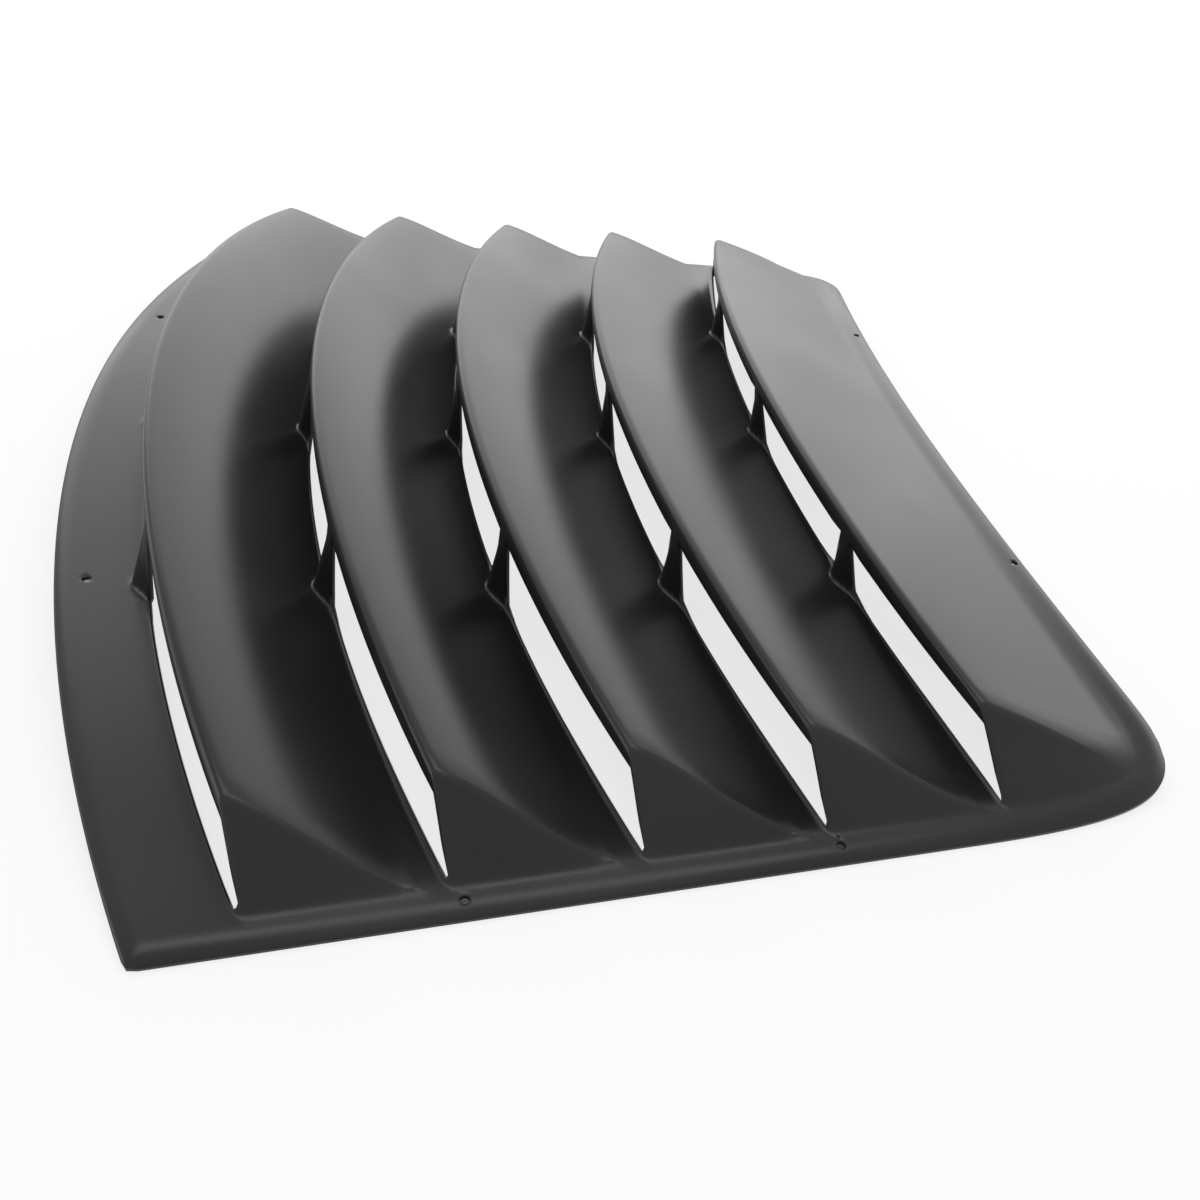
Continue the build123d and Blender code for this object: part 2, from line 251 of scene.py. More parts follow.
# %% Curve of a top
TOP_SLOPE, FOOT_SLOPE, LAST_SLOPE = 0.32, 0.30, 0.34
START_PULL, END_PULL, END_DIVE = 0.44, 0.30, 0.12
FOOT_PAST, FOOT_LIFT, FOOT_SHORT, FOOT_SINK = 4.0, 1.2, 20.0, 3.0
CREASE_X, CREASE_BOW, CREASE_HALF, CREASE_PAST, CREASE_SINK = 318.0, 34.0, 420.0, 6.0, 2.5


def top_curve(k, y):
    """Four Bezier points of the top of vane k: two on the slope at the lip, two at the foot."""
    steep = math.atan(TOP_SLOPE)
    cx, cz = nose(k, y)
    x0, z0 = cx + NOSE_R * math.sin(steep), cz + NOSE_R * math.cos(steep)
    at_end = (y / (side_half(LIP_X[k]) - FLANGE)) ** 2
    next_x = face_foot(np.minimum(k + 1, VANES - 1), y)[0] + FOOT_PAST - FOOT_SHORT * at_end
    next_z = sheet_z(next_x, y) + FOOT_LIFT - FOOT_SINK * at_end
    crease = CREASE_X + CREASE_BOW * (y / CREASE_HALF) ** 2
    last = k == VANES - 1
    x3 = np.where(last, crease + CREASE_PAST, next_x)
    z3 = np.where(last, sheet_z(crease, y) - CREASE_SINK, next_z)
    slope = np.where(last, LAST_SLOPE, FOOT_SLOPE)
    span, pull = x3 - x0, np.where(last, END_PULL, END_PULL + END_DIVE * at_end)
    begin = START_PULL * (1 - 0.5 * at_end) * span
    x = np.stack([x0, x0 + begin, x3 - pull * span, x3])
    z = np.stack([z0, z0 - begin * TOP_SLOPE, z3 + pull * span * slope, z3])
    return x, z, slope


for k in range(VANES):
    x, z, _ = top_curve(np.array(k), np.array(0.0))
    print("vane", k + 1, "top from", x[0].round(1), z[0].round(1), "to", x[3].round(1), z[3].round(1))

# %% [markdown]
# A face is nearly upright, and in places its lip hangs a little over its own foot, so a plain height
# map can't carry it. The lines along which the height is found lean back instead, by 0.45 for each
# unit up. Every line is named by where it meets the ground, p = x + 0.45 z, and by its y. For each
# plain solid of the louver a function gives the height at which the line leaves it.

# %% Where a leaning line leaves the sheet, a top and a face
LEAN = 0.45
HALVINGS = 26


def halve(inside, low, high):
    """Height at which a test stops being true, by cutting the span in two again and again."""
    for _ in range(HALVINGS):
        middle = (low + high) / 2
        still = inside(middle)
        low, high = np.where(still, middle, low), np.where(still, high, middle)
    return (low + high) / 2


def leave_sheet(p, y):
    """Height z that is the sheet's own at p - 0.45 z, found by trying again and again."""
    z = np.full_like(p, SKIRT)
    for _ in range(6):
        z = sheet_z(p - LEAN * z, y)
    return z


def leave_top(k, p, y):
    """Point of the Bezier top on the line, carried on straight past both of its ends."""
    x, z, slope = top_curve(k, y)
    g = x + LEAN * z
    t = halve(lambda share: bezier(g, share) < p, np.zeros_like(p), np.ones_like(p))
    before = z[0] + (g[0] - p) * TOP_SLOPE / (1 - LEAN * TOP_SLOPE)
    after = z[3] - (p - g[3]) * slope / (1 - LEAN * slope)
    return np.where(p < g[0], before, np.where(p > g[3], after, bezier(z, t)))


def leave_face(k, p, y):
    """Crossing of two straights: the face runs lean for each unit up from its foot, the line -0.45."""
    fx, fz = face_foot(k, y)
    lean = face_lean(k, y)
    return (p - fx - fz * lean) / (LEAN - lean)


print("a line from the middle leaves the sheet", leave_sheet(np.zeros(1), np.zeros(1)).round(1), "mm up")

# %% [markdown]
# The side walls are planes that lean in by 49 for each 62 up and stand 23 in from the edge. Round
# the roof corner the wall keeps that distance from the curved edge, so there its height comes from
# the distance to the nearest point of the plan line, of which every fourth point is enough.

# %% Where a line leaves the side wall
WALL = 49.0 / 62.0
CORNER_LINE = np.vstack([OUTER_SIDE, OUTER_ROOF[:160]])[::4]


def leave_wall(k, p, y):
    """Height of the leaning plane, or skirt plus (distance to the edge less the flange) over WALL."""
    start = REAR_HALF - TAPER * (p + SIDE_X) - FLANGE + WALL * SKIRT
    plane = (start - y) / (WALL - TAPER * LEAN)
    last = np.broadcast_to(k == VANES - 1, p.shape)
    pp, yy, z = p[last], y[last], plane[last]
    for _ in range(5):
        gap = np.hypot(CORNER_LINE[:, :1] - pp + LEAN * z, CORNER_LINE[:, 1:] - yy).min(0)
        z = (z + SKIRT + (gap - FLANGE) / WALL) / 2
    plane[last] = np.minimum(plane[last], z)
    return plane


print("side walls lean", round(math.degrees(math.atan(WALL)), 1), "degrees from upright")

# %% [markdown]
# Three V-shaped gussets stiffen each face between its openings: one at the middle and one out on
# each side. A gusset is widest and deepest at its foot and dies away under the riser of the lip.

# %% Where a line leaves a gusset
GUSSETS = (0.0, 245.0)
GUSSET_HALF, GUSSET_HALF_TOP, GUSSET_OUT, GUSSET_OUT_TOP = 21.0, 9.0, 17.0, 2.0
TIP_ROUND, LEAST_HALF = 4.0, 2.0
RISER, PAST_RISER = 19.0, 10.0
BURIED, TALLEST = -60.0, 200.0


def leave_gusset(k, p, y, at):
    """Highest point still in the V, whose depth falls evenly from its tip to its sides."""
    lip_x, lip_z = lip(k, at)
    z0, z1 = sheet_z(lip_x, at), lip_z - RISER
    beside = np.hypot(y - at, TIP_ROUND) - 0.8 * TIP_ROUND
    fx, fz = face_foot(k, y)
    lean = face_lean(k, y)

    def inside(z):
        share = (z - z0) / (z1 - z0)
        out = GUSSET_OUT + share * (GUSSET_OUT_TOP - GUSSET_OUT)
        half = np.maximum(GUSSET_HALF + share * (GUSSET_HALF_TOP - GUSSET_HALF), LEAST_HALF)
        depth = out - beside * np.maximum(out, 1.0) / half
        return depth - (fx - (z - fz) * lean - p + LEAN * z) > 0

    z = halve(inside, np.full_like(p, BURIED), np.full_like(p, TALLEST))
    return np.where(leave_face(k, p, y) > z1 + PAST_RISER, BURIED, z)


print("gussets", 2 * len(GUSSETS) - 1, "on each face,", GUSSET_OUT, "mm deep at the foot")

# %% [markdown]
# Sheet drawn over a mould has no sharp corner. Outer corners are rounded by a smooth "common part"
# and inner ones by a smooth "union": both put a circle's arc between two surfaces, from how deep a
# point lies under each. Depth along the line times the cosine to the surface is the true depth.

# %% The formed surface
LIP_ROUND, RIDGE_ROUND, FOOT_ROUND, GUSSET_ROUND = 8.6, 4.5, 5.0, 2.5
SLOPE_STEP = 2.0
OLD_COS = 0.95
LOWEST, HIGHEST = -20.0, 160.0


def common(depths, r):
    """r less the length of the vector of what each depth lacks of r."""
    return r - np.sqrt(sum(np.maximum(r - d, 0) ** 2 for d in depths))


def union(depths, r):
    """Length of the vector of how far each depth is above -r, less r."""
    return np.sqrt(sum(np.maximum(r + d, 0) ** 2 for d in depths)) - r


def formed_height(k, p, y):
    """Height at which each line leaves the rounded whole: sheet, vane, the vane before it, gussets."""
    before = np.maximum(k - 1, 0)
    sheet, face, wall = leave_sheet(p, y), leave_face(k, p, y), leave_wall(k, p, y)
    top, old_top, old_wall = leave_top(k, p, y), leave_top(before, p, y), leave_wall(before, p, y)
    gussets = [leave_gusset(k, p, y, at) for at in GUSSETS]
    lean = face_lean(k, y)
    fall = (leave_top(k, p + SLOPE_STEP, y) - leave_top(k, p - SLOPE_STEP, y)) / (2 * SLOPE_STEP)
    fall = fall / (1 - LEAN * fall)
    cos_top = (1 + LEAN * fall) / np.hypot(1, fall)
    cos_face = (LEAN - lean) / np.hypot(1, lean)
    cos_wall = (WALL - TAPER * LEAN) / math.sqrt(1 + WALL ** 2 + TAPER ** 2)
    cos_gusset = (LEAN - lean + 0.2) / math.hypot(1, GUSSET_OUT / GUSSET_HALF)

    def inside(z):
        lipped = common([(top - z) * cos_top, (face - z) * cos_face], LIP_ROUND)
        vane = common([lipped, (wall - z) * cos_wall], RIDGE_ROUND)
        old = np.minimum((old_top - z) * OLD_COS, (old_wall - z) * cos_wall)
        body = union([sheet - z, vane, np.where(k > 0, old, BURIED)], FOOT_ROUND)
        for gusset in gussets:
            body = union([body, (gusset - z) * cos_gusset], GUSSET_ROUND)
        return body > 0

    return halve(inside, np.full_like(p, LOWEST), np.full_like(p, HIGHEST))


print("rounds: lip", LIP_ROUND, "ridge", RIDGE_ROUND, "foot", FOOT_ROUND, "gusset", GUSSET_ROUND, "mm")

# %% [markdown]
# The mesh is a grid whose rows follow the louver's own lines across the car: rear edge, foot of
# each face, top of the openings, nose, start of the top, and roof edge. Each line is a function that
# gives its place p at any y.

# %% Lines across the louver
NEAR_FOOT = 24.0
RISER_LESS = 8.0


def rail(name, k, y):
    """Place p of one of the louver's own lines: x + 0.45 z of the point that it has at y."""
    if name in ("rear", "roof"):
        line = REAR_LINE if name == "rear" else ROOF_LINE[::-1]
        x = np.interp(y, line[:, 1], line[:, 0])
        return x + LEAN * sheet_z(x, y)
    if name in ("before", "foot"):
        fx, fz = face_foot(k, y)
        return fx + LEAN * fz - (NEAR_FOOT if name == "before" else 0)
    if name == "riser":
        fx, fz = face_foot(k, y)
        z = lip(k, y)[1] - RISER + RISER_LESS * (y / LIP_HALF[k]) ** 4
        return fx - (z - fz) * face_lean(k, y) + LEAN * z
    cx, cz = nose(k, y)
    turned = np.arctan(face_lean(k, y)) + math.pi if name == "nose" else math.pi / 2 - math.atan(TOP_SLOPE)
    return cx + NOSE_R * np.cos(turned) + LEAN * (cz + NOSE_R * np.sin(turned))


print("rear line to roof line", [round(float(rail(name, 0, 0.0)), 1) for name in ("rear", "roof")], "mm")

# %% [markdown]
# Between two such lines the rows are spread evenly, and close together where the sheet bends. Each
# band of rows names its vane, the line where it starts and the line where it ends. On the rearmost
# vane the openings at the ends are cut a little past the foot of the face.

# %% Rows of the grid
CUT_BEFORE = 4.0
FRONT = np.array([24, 20, 17.5, 15.2, 13, 11, 9, 7.2, 5.5, 4, 2.6, 1.3])


def shares(n):
    """n even steps from nought, without the one at the end, where the next band starts."""
    return np.linspace(0, 1, n + 1)[:-1]


bands = [(0, "rear", "before", 0, shares(14))]
for k in range(VANES):
    bands.append((k, "before", "foot", k, 1 - FRONT / NEAR_FOOT))
    bands.append((k, "foot", "riser", k, shares(8)))
    bands.append((k, "riser", "nose", k, shares(3)))
    bands.append((k, "nose", "top", k, shares(7)))
    if k + 1 < VANES:
        bands.append((k, "top", "before", k + 1, shares(22)))
bands.append((VANES - 1, "top", "roof", VANES - 1, np.linspace(0, 1, 35)))


def per_row(value):
    """What value(vane, first line, shares) gives for every band, joined into one array of rows."""
    return np.concatenate([np.broadcast_to(value(k, first, share), share.shape)
                           for k, first, _, _, share in bands])


def place(y):
    """Place p of every row at its y: a mix of the two lines that the row lies between."""
    out, row = np.empty_like(y), 0
    for k, first, second, j, share in bands:
        at, s = slice(row, row + len(share)), share[:, None]
        out[at] = (1 - s) * rail(first, k, y[at]) + s * rail(second, j, y[at])
        row += len(share)
    return out


def rise(k, first, share):
    """0 before a face, from 0 to 1 up the face, 1 round the nose, and back to 0 down the top."""
    return {"foot": share, "riser": 1, "nose": 1, "top": 1 - share}.get(first, 0)


up_face = per_row(rise)[:, None]
vane_of_row = per_row(lambda k, first, share: k)[:, None]
face_row = per_row(lambda k, first, share: first == "foot")
cut_row = per_row(lambda k, first, share: (k == 0 and first == "before")
                  & (share > 1 - CUT_BEFORE / NEAR_FOOT))
print("rows", len(up_face), "of them", int(face_row.sum()), "on faces")

# %% [markdown]
# A formed sheet never ends flat: near its edge it rolls down softly, over the last 16 mm, by the
# square of how near the plan line is.

# %% Soft edge of the sheet
EDGE_DROP, EDGE_WIDE = 4.5, 16.0
plan = np.vstack([OUTER_REAR[::3], OUTER_SIDE[::3], OUTER_ROOF[::3], OUTER_ROOF[-1:]])


def to_edge(x, y):
    """Distance to the nearest point of the plan line, taken along its straight pieces."""
    run = np.diff(plan, axis=0)
    rel = np.stack([x, abs(y)], -1)[..., None, :] - plan[:-1]
    share = np.clip((rel * run).sum(-1) / np.maximum((run ** 2).sum(-1), 1e-9), 0, 1)
    rel -= share[..., None] * run
    return np.hypot(rel[..., 0], rel[..., 1]).min(-1)


def rolled(distance):
    """How far the sheet has dropped: EDGE_DROP times the square of (1 - distance / EDGE_WIDE)."""
    return EDGE_DROP * np.maximum(0, 1 - distance / EDGE_WIDE) ** 2


print("the edge drops by", rolled(0.0), "mm")

# %% [markdown]
# Along a row the columns sit on lines too: the middle, the sides of the gussets, the ends of the
# openings, the ridge of the side wall, its foot and the edge. So every opening is bounded by rows
# and columns, and to open it, its faces are simply not made. Where ridge and foot of the wall run
# together, at the foot of a face, the columns beside them are drawn together in the same measure.

# %% Lines along the louver
ROOM, LEAST_ROOM = 15.0, 4.0
END_RIM, TOP_IN = 4.4, 34.0
GUESS_EDGE, GUESS_WALL = 540.0, 40.0


def settle(start, better):
    """Half-way steps towards a place that depends on itself."""
    for _ in range(25):
        start = (start + better(start)) / 2
    return start


def edge_of(y):
    """Side line at the place that a row has on the skirt."""
    return np.interp(place(y) - LEAN * (SKIRT + 0.5), SIDE_LINE[:, 0], SIDE_LINE[:, 1])


def ridge_of(y):
    """Half width less flange and lean of the wall, at the height of the vane there."""
    p = place(y)
    z = np.maximum(np.minimum(leave_top(vane_of_row, p, y), leave_face(vane_of_row, p, y)), SKIRT)
    return side_half(p - LEAN * z) - FLANGE - WALL * (z - SKIRT)


edge_y = settle(np.full(up_face.shape, GUESS_EDGE), edge_of)
foot_y = edge_y + EDGE_R - FLANGE
ridge_y = np.minimum(settle(foot_y - GUESS_WALL, ridge_of), foot_y - LEAST_ROOM)
tight = np.minimum(1, (foot_y - ridge_y) / ROOM)
open_y = np.minimum(ridge_y, foot_y - TOP_IN * up_face) - END_RIM * tight
gusset_y = GUSSET_HALF + up_face * (GUSSET_HALF_TOP - GUSSET_HALF)
print("ridge", ridge_y.min().round(1), "to", ridge_y.max().round(1), "mm from the middle")

# %% [markdown]
# Each mark below is such a line with the number of columns that lead up to it. Two of the stretches
# between them are openings: the one between the gussets and the one at the end.

# %% Columns of the grid
INNER_OPENING, END_OPENING = 2, 5
marks = [(0 * gusset_y, 0), (gusset_y, 4), (GUSSETS[1] - gusset_y, 12), (GUSSETS[1] + 0 * gusset_y, 4),
         (GUSSETS[1] + gusset_y, 4), (open_y, 14)]
marks += [(ridge_y + d * tight, 1) for d in (-3, -1, 1, 3, 6)]
marks += [(foot_y - 4 * tight, 8), (foot_y - tight, 1), (foot_y + 1.5, 1), (foot_y + 5, 1)]
marks += [(edge_y - 3, 2), (edge_y, 1)]

columns, opens, end_opens = [marks[0][0]], [], []
for j in range(1, len(marks)):
    (a, _), (b, n) = marks[j - 1], marks[j]
    columns += [a + (b - a) * i / n for i in range(1, n + 1)]
    opens += [j in (INNER_OPENING, END_OPENING)] * n
    end_opens += [j == END_OPENING] * n
half_y = np.hstack(columns)
half_p = place(half_y)
half_z = formed_height(vane_of_row, half_p, half_y)
half_x = half_p - LEAN * half_z
half_z -= rolled(to_edge(half_x, half_y))
print("grid", half_y.shape, "highest", round(float(half_z.max()), 1), "mm")

# %% [markdown]
# The half is mirrored by turning its columns round, which keeps the faces pointing outwards because
# the grid is still read in the same order.

# %% Whole grid and openings
def both_sides(half, sign):
    """The half with its mirror image before it, which shares the middle column."""
    return np.hstack([sign * half[:, :0:-1], half])


grid = np.stack([both_sides(half_x, 1), both_sides(half_y, -1), both_sides(half_z, 1)], 2)
rows, cols = grid.shape[:2]
number = np.arange(rows * cols).reshape(rows, cols)
opened = face_row[:-1, None] & np.array(opens[::-1] + opens)
opened |= cut_row[:-1, None] & np.array(end_opens[::-1] + end_opens)
quads = np.stack([number[:-1, :-1], number[1:, :-1], number[1:, 1:], number[:-1, 1:]], 2)[~opened]
print("grid faces", len(quads), "left out for openings", int(opened.sum()))

# %% [markdown]
# Rings of faces carry the flange out to the plan line, each a share of the way along the line that
# is square to the edge. The last ring goes straight down, which is the cut edge.

# %% Rings out to the cut edge
TRIM = SKIRT - 0.05
WAY_OUT = (0.35, 0.7, 1.0)
loop = np.concatenate([number[0], number[1:, -1], number[-1, -2::-1], number[-2:0:-1, 0]])
line = grid.reshape(-1, 3)[loop]
step = np.roll(line, -1, 0)[:, :2] - line[:, :2]
side = np.stack([-step[:, 1], step[:, 0]], 1) / np.hypot(step[:, 0], step[:, 1])[:, None]
out = side + np.roll(side, 1, 0)
out /= np.hypot(out[:, 0], out[:, 1])[:, None]

reach = to_edge(line[:, 0], line[:, 1])[:, None]
print("edge is", reach.min().round(2), "to", reach.max().round(2), "mm out")

rings, points = [loop], [grid.reshape(-1, 3)]
for share, drop in [(way, rolled(reach[:, 0] * (1 - way))) for way in WAY_OUT] + [(1.0, TRIM)]:
    at = line[:, :2] + reach * share * out
    points.append(np.column_stack([at, sheet_z(at[:, 0], at[:, 1]) - drop]))
    rings.append(rows * cols + (len(rings) - 1) * len(loop) + np.arange(len(loop)))
for inner, outer in zip(rings, rings[1:]):
    quads = np.vstack([quads, np.stack([inner, np.roll(inner, -1), np.roll(outer, -1), outer], 1)])
points = np.vstack(points)
print("points", len(points), "faces", len(quads))

# %% [markdown]
# The mesh is filled from the arrays in one go, moved along X so that its rear edge lies where the
# packed louver's does. Solidify gives the sheet its 3.5 mm on the inner side. It is applied at once,
# because the screw holes are then drilled through both skins.

# %% Sheet of plastic
THICK = 3.5
shift = cad_box[0][0] * 1000 + SIDE_X + REAR_BOW
used = np.unique(quads)
new_number = np.full(len(points), -1)
new_number[used] = np.arange(len(used))
where = (points[used] + [shift, 0, 0]) / 1000


def new_mesh(name, where, faces):
    """Mesh from an array of points and one of four-sided faces."""
    mesh = bpy.data.meshes.new(name)
    mesh.from_pydata(where.tolist(), [], faces.tolist())
    mesh.update()
    return mesh


def new_object(name, mesh):
    """Object at the origin that carries the mesh."""
    made = bpy.data.objects.new(name, mesh)
    bpy.context.scene.collection.objects.link(made)
    return made


def apply_modifiers(made):
    """Replaces an object's mesh by what its modifiers make of it."""
    graph = bpy.context.evaluated_depsgraph_get()
    mesh = bpy.data.meshes.new_from_object(made.evaluated_get(graph))
    made.modifiers.clear()
    made.data = mesh
    return mesh


sheet = new_object("formed_sheet", new_mesh("formed_sheet", where, new_number[quads]))
wall = sheet.modifiers.new("thickness", "SOLIDIFY")
wall.thickness = THICK / 1000
wall.offset = -1
wall.use_quality_normals = True
apply_modifiers(sheet)
print("sheet", len(sheet.data.polygons), "faces")

# %% [markdown]
# Eight plain screw holes hold the louver: two at the boot, two at the roof and two on each side.
# Their rims are pressed in a little, so the drill is a turned profile: a straight shank and a
# flared mouth. All eight are one mesh, taken away from the sheet in one Boolean.

# %% Drill for the screw holes
HOLE_R, MOUTH_R, HEAD_R = 3.0, 2.2, 7.7
BELOW, ABOVE = -9.0, 0.9
TURNS = 40

flare = np.radians([0, 18, 36, 54, 72, 86])
drill_r = np.concatenate([[0, HOLE_R], HOLE_R + MOUTH_R * (1 - np.cos(flare)), [HEAD_R, 0]])
drill_z = np.concatenate([[BELOW, BELOW], MOUTH_R * (np.sin(flare) - 1), [ABOVE, ABOVE]])
angle = np.arange(TURNS) * 2 * math.pi / TURNS
drill = np.stack([np.outer(drill_r, np.cos(angle)), np.outer(drill_r, np.sin(angle)),
                  np.repeat(drill_z[:, None], TURNS, 1)], 2)
ids = np.arange(drill[..., 0].size).reshape(len(drill_r), TURNS)
skin = np.stack([ids[:-1], np.roll(ids[:-1], -1, 1), np.roll(ids[1:], -1, 1), ids[1:]], 2).reshape(-1, 4)
print("drill", drill.shape[0], "rings of", TURNS, "points")

# %% [markdown]
# The drills stand on the sheet at their spots, those on the sides a set way in from the edge. The
# points of a turned profile fall together at both of its poles, so they are merged there first.

# %% Screw holes
PROUD, SCREW_IN = 0.1, 12.5
SPOTS = [(-485.0, 240.0), (339.5, 235.0)]
SPOTS += [(x, float(side_half(x)) - SCREW_IN) for x in (-198.0, 80.0)]

drill_points, drill_faces = [], []
for x, y in SPOTS + [(x, -y) for x, y in SPOTS]:
    drill_faces.append(skin + len(drill_points) * drill[..., 0].size)
    drill_points.append((drill.reshape(-1, 3) + [x + shift, y, sheet_z(x, y) + PROUD]) / 1000)
drills = new_object("drills", new_mesh("drills", np.vstack(drill_points), np.vstack(drill_faces)))
closed = bmesh.new()
closed.from_mesh(drills.data)
bmesh.ops.remove_doubles(closed, verts=closed.verts, dist=1e-7)
closed.to_mesh(drills.data)
closed.free()

cut = sheet.modifiers.new("screw_holes", "BOOLEAN")
cut.operation = "DIFFERENCE"
cut.solver = "EXACT"
cut.object = drills
whole = len(sheet.data.vertices)
apply_modifiers(sheet)
print("the holes add", len(sheet.data.vertices) - whole, "points")
bpy.data.objects.remove(drills)
sheet.data.polygons.foreach_set("use_smooth", np.ones(len(sheet.data.polygons), bool))
sheet.data.calc_loop_triangles()
print("formed sheet", len(sheet.data.loop_triangles), "triangles")

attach(sheet, "root")
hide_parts("louver_panel")

# %% [markdown]
# The plastic is black ABS with a satin skin. It is nearly black when looked at straight on, and the
# pale studio shows in it where the view grazes it. The skin is not even: the mould leaves a very
# fine grain, and handling leaves soft patches that are a little duller than the rest. Both are
# noise on Object coordinates, which are the louver's own metres and stay with it.

# %% Black ABS
ABS_DARK, ABS_PALE = (0.010, 0.010, 0.0103, 1), (0.016, 0.016, 0.0164, 1)
SHINE, LEAST_ROUGH, MOST_ROUGH = 0.28, 0.27, 0.33
PATCH_SCALE, GRAIN_SCALE, GRAIN_HEIGHT = 6.0, 900.0, 0.0004


def black_abs():
    """Plastic whose colour and roughness drift together with soft patches, under a bump of grain."""
    made = bpy.data.materials.new("black_abs")
    made.use_nodes = True
    nodes, links = made.node_tree.nodes, made.node_tree.links
    skin = nodes["Principled BSDF"]
    skin.inputs["Specular IOR Level"].default_value = SHINE
    place_of = nodes.new("ShaderNodeTexCoord").outputs["Object"]

    def noise(scale, detail):
        node = nodes.new("ShaderNodeTexNoise")
        node.inputs["Scale"].default_value = scale
        node.inputs["Detail"].default_value = detail
        links.new(place_of, node.inputs["Vector"])
        return node.outputs["Fac"]

    def spread(value, low, high):
        """The middle half of the noise, drawn out smoothly from low to high."""
        node = nodes.new("ShaderNodeMapRange")
        node.interpolation_type = "SMOOTHSTEP"
        node.inputs["From Min"].default_value, node.inputs["From Max"].default_value = 0.25, 0.75
        node.inputs["To Min"].default_value, node.inputs["To Max"].default_value = low, high
        links.new(value, node.inputs["Value"])
        return node.outputs["Result"]

    patches, grain = noise(PATCH_SCALE, 1.0), noise(GRAIN_SCALE, 2.0)
    tint = nodes.new("ShaderNodeMix")
    tint.data_type = "RGBA"
    tint.inputs["A"].default_value, tint.inputs["B"].default_value = ABS_DARK, ABS_PALE
    links.new(spread(patches, 0.0, 1.0), tint.inputs["Factor"])
    links.new(tint.outputs["Result"], skin.inputs["Base Color"])
    links.new(spread(patches, LEAST_ROUGH, MOST_ROUGH), skin.inputs["Roughness"])
    bump = nodes.new("ShaderNodeBump")
    bump.inputs["Strength"].default_value = 0.12
    bump.inputs["Distance"].default_value = GRAIN_HEIGHT
    links.new(grain, bump.inputs["Height"])
    links.new(bump.outputs["Normal"], skin.inputs["Normal"])
    return made


sheet.data.materials.clear()
sheet.data.materials.append(black_abs())
print("material", sheet.data.materials[0].name)

# %% [markdown]
# The louver stands in a white room. The world lights it at half strength, but the camera, and the
# plastic as a mirror, see it as plain white: Light Path tells such rays from the others.

# %% White room
WORLD_LIGHT = 0.5


def seen(nodes, links):
    """1 for a ray of the camera, or one that a mirror or a pane has sent on, and otherwise 0."""
    path = nodes.new("ShaderNodeLightPath")
    total = path.outputs["Is Camera Ray"]
    for name in ("Is Glossy Ray", "Is Transmission Ray"):
        more = nodes.new("ShaderNodeMath")
        more.operation = "MAXIMUM"
        links.new(total, more.inputs[0])
        links.new(path.outputs[name], more.inputs[1])
        total = more.outputs["Value"]
    return total


def white_room():
    """Two white backgrounds, the dimmer one for light and the full one for rays that are seen."""
    room = bpy.data.worlds.new("white_room")
    room.use_nodes = True
    nodes, links = room.node_tree.nodes, room.node_tree.links
    light = nodes["Background"]
    light.inputs["Color"].default_value = (1, 1, 1, 1)
    light.inputs["Strength"].default_value = WORLD_LIGHT
    white = nodes.new("ShaderNodeBackground")
    white.inputs["Color"].default_value = (1, 1, 1, 1)
    pick = nodes.new("ShaderNodeMixShader")
    links.new(seen(nodes, links), pick.inputs["Fac"])
    links.new(light.outputs["Background"], pick.inputs[1])
    links.new(white.outputs["Background"], pick.inputs[2])
    links.new(pick.outputs["Shader"], nodes["World Output"].inputs["Surface"])
    return room


bpy.context.scene.world = white_room()
print("world", bpy.context.scene.world.name)

# %% [markdown]
# The floor is white paper. It is seen as nearly plain white, so that it runs into the room without a
# line, and a quarter of it stays matt paper, which takes the louver's shadow.

# %% Paper floor
PAPER, SEEN_WHITE = 0.86, 0.75
FLOOR_HALF = 9.0


def white_paper():
    """Matt paper; the camera and mirrors see a quarter of it, with its shadows, and the rest white."""
    made = bpy.data.materials.new("white_paper")
    made.use_nodes = True
    nodes, links = made.node_tree.nodes, made.node_tree.links
    matt = nodes["Principled BSDF"]
    matt.inputs["Base Color"].default_value = (PAPER, PAPER, PAPER, 1)
    matt.inputs["Roughness"].default_value = 0.9
    white = nodes.new("ShaderNodeEmission")
    ray = nodes.new("ShaderNodeMath")
    ray.operation = "MULTIPLY"
    ray.inputs[1].default_value = SEEN_WHITE
    pick = nodes.new("ShaderNodeMixShader")
    links.new(seen(nodes, links), ray.inputs[0])
    links.new(ray.outputs["Value"], pick.inputs["Fac"])
    links.new(matt.outputs["BSDF"], pick.inputs[1])
    links.new(white.outputs["Emission"], pick.inputs[2])
    links.new(pick.outputs["Shader"], nodes["Material Output"].inputs["Surface"])
    return made


corners = FLOOR_HALF * np.array([(-1.0, -1.0, 0.0), (1.0, -1.0, 0.0), (1.0, 1.0, 0.0), (-1.0, 1.0, 0.0)])
floor = new_object("floor", new_mesh("floor", corners, np.array([[0, 1, 2, 3]])))
floor.data.materials.append(white_paper())
print("floor", floor.dimensions[:])

# %% [markdown]
# Under the flange the paper lies in the louver's own shadow, and that is what the screw holes show.
# A strip of the same paper without the plain white is laid there, between two lines of the plan.

# %% Paper in the shadow of the flange
STRIPS = [(0, 4.0, 57.0), (1, 4.0, 28.0), (2, 4.0, 60.0)]
STRIP_Z = 0.3


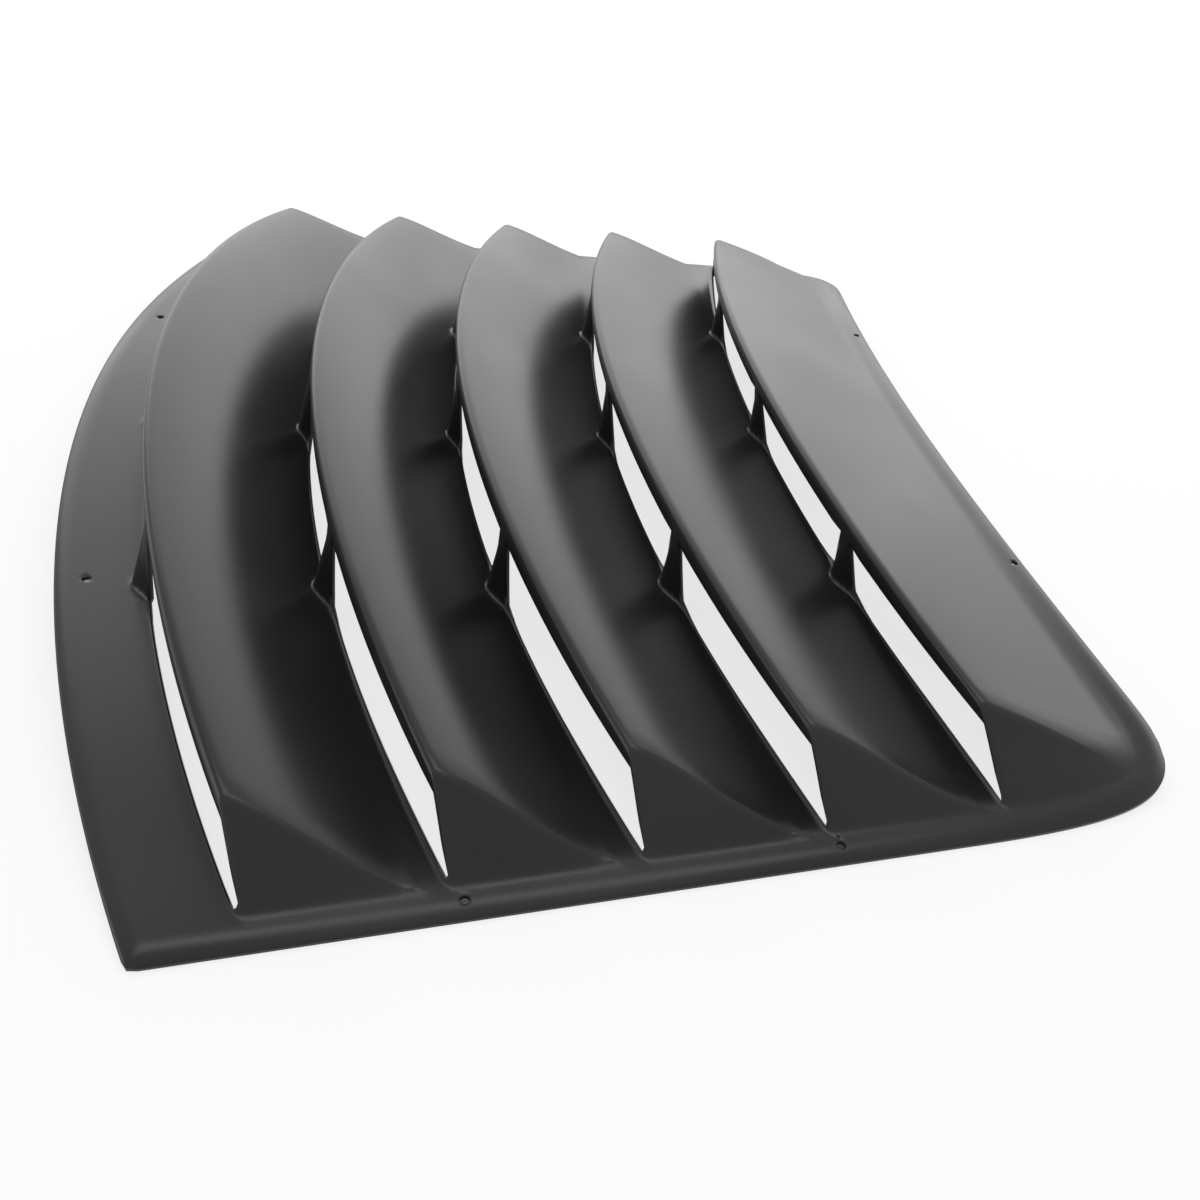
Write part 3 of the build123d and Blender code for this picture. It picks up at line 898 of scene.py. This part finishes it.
def even(points, n=60):
    """The line again with n points, spread over its old ones."""
    old, new = np.linspace(0, 1, len(points)), np.linspace(0, 1, n)
    return np.column_stack([np.interp(new, old, points[:, i]) for i in (0, 1)])


strip_points, strip_faces = [], []
for line_no, near_edge, far_edge in STRIPS:
    pair = np.stack([even(plan_line(inset)[line_no]) for inset in (near_edge, far_edge)])
    for mirror in (1, -1):
        first = sum(len(block) for block in strip_points)
        at = np.dstack([pair[..., 0] + shift, mirror * pair[..., 1], np.full(pair.shape[:2], STRIP_Z)])
        strip_points.append(at.reshape(-1, 3) / 1000)
        ids = first + np.arange(at[..., 0].size).reshape(at.shape[:2])
        ring = [ids[0, :-1], ids[1, :-1], ids[1, 1:], ids[0, 1:]]
        strip_faces.append(np.stack(ring[::mirror], 1))
strips = new_object("flange_paper", new_mesh("flange_paper", np.vstack(strip_points), np.vstack(strip_faces)))
shaded = bpy.data.materials.new("shaded_paper")
shaded.use_nodes = True
shaded.node_tree.nodes["Principled BSDF"].inputs["Base Color"].default_value = (PAPER, PAPER, PAPER, 1)
strips.data.materials.append(shaded)
print("strips", len(strips.data.polygons), "faces")

# %% [markdown]
# The tops of the vanes mirror what stands low behind the far side of the car. A long soft lamp there
# draws the pale bands along them, and the valleys between the vanes mirror the next dark face.

# %% Soft lamps


def bank(name, at, aim, size, watts):
    """Flat soft lamp at a place, turned to face another, with its length and height in metres."""
    lamp = bpy.data.lights.new(name, "AREA")
    lamp.shape = "RECTANGLE"
    lamp.size, lamp.size_y = size
    lamp.energy = watts
    made = bpy.data.objects.new(name, lamp)
    made.location = at
    made.rotation_euler = (Vector(aim) - Vector(at)).to_track_quat("-Z", "Y").to_euler()
    bpy.context.scene.collection.objects.link(made)
    print(name, watts, "W")


bank("back_bank", (0.2, 2.9, 1.9), (0, 0, 0.1), (6.4, 3.7), 130)
bank("roof_bank", (4.2, 1.9, 1.0), (0, 0, 0.1), (3.6, 1.8), 30)
bank("top_box", (0.0, -0.3, 2.6), (0, 0, 0), (2.6, 0.7), 20)
bank("boot_bank", (-3.6, -0.4, 0.8), (0, 0, 0.1), (1.6, 1.0), 17)
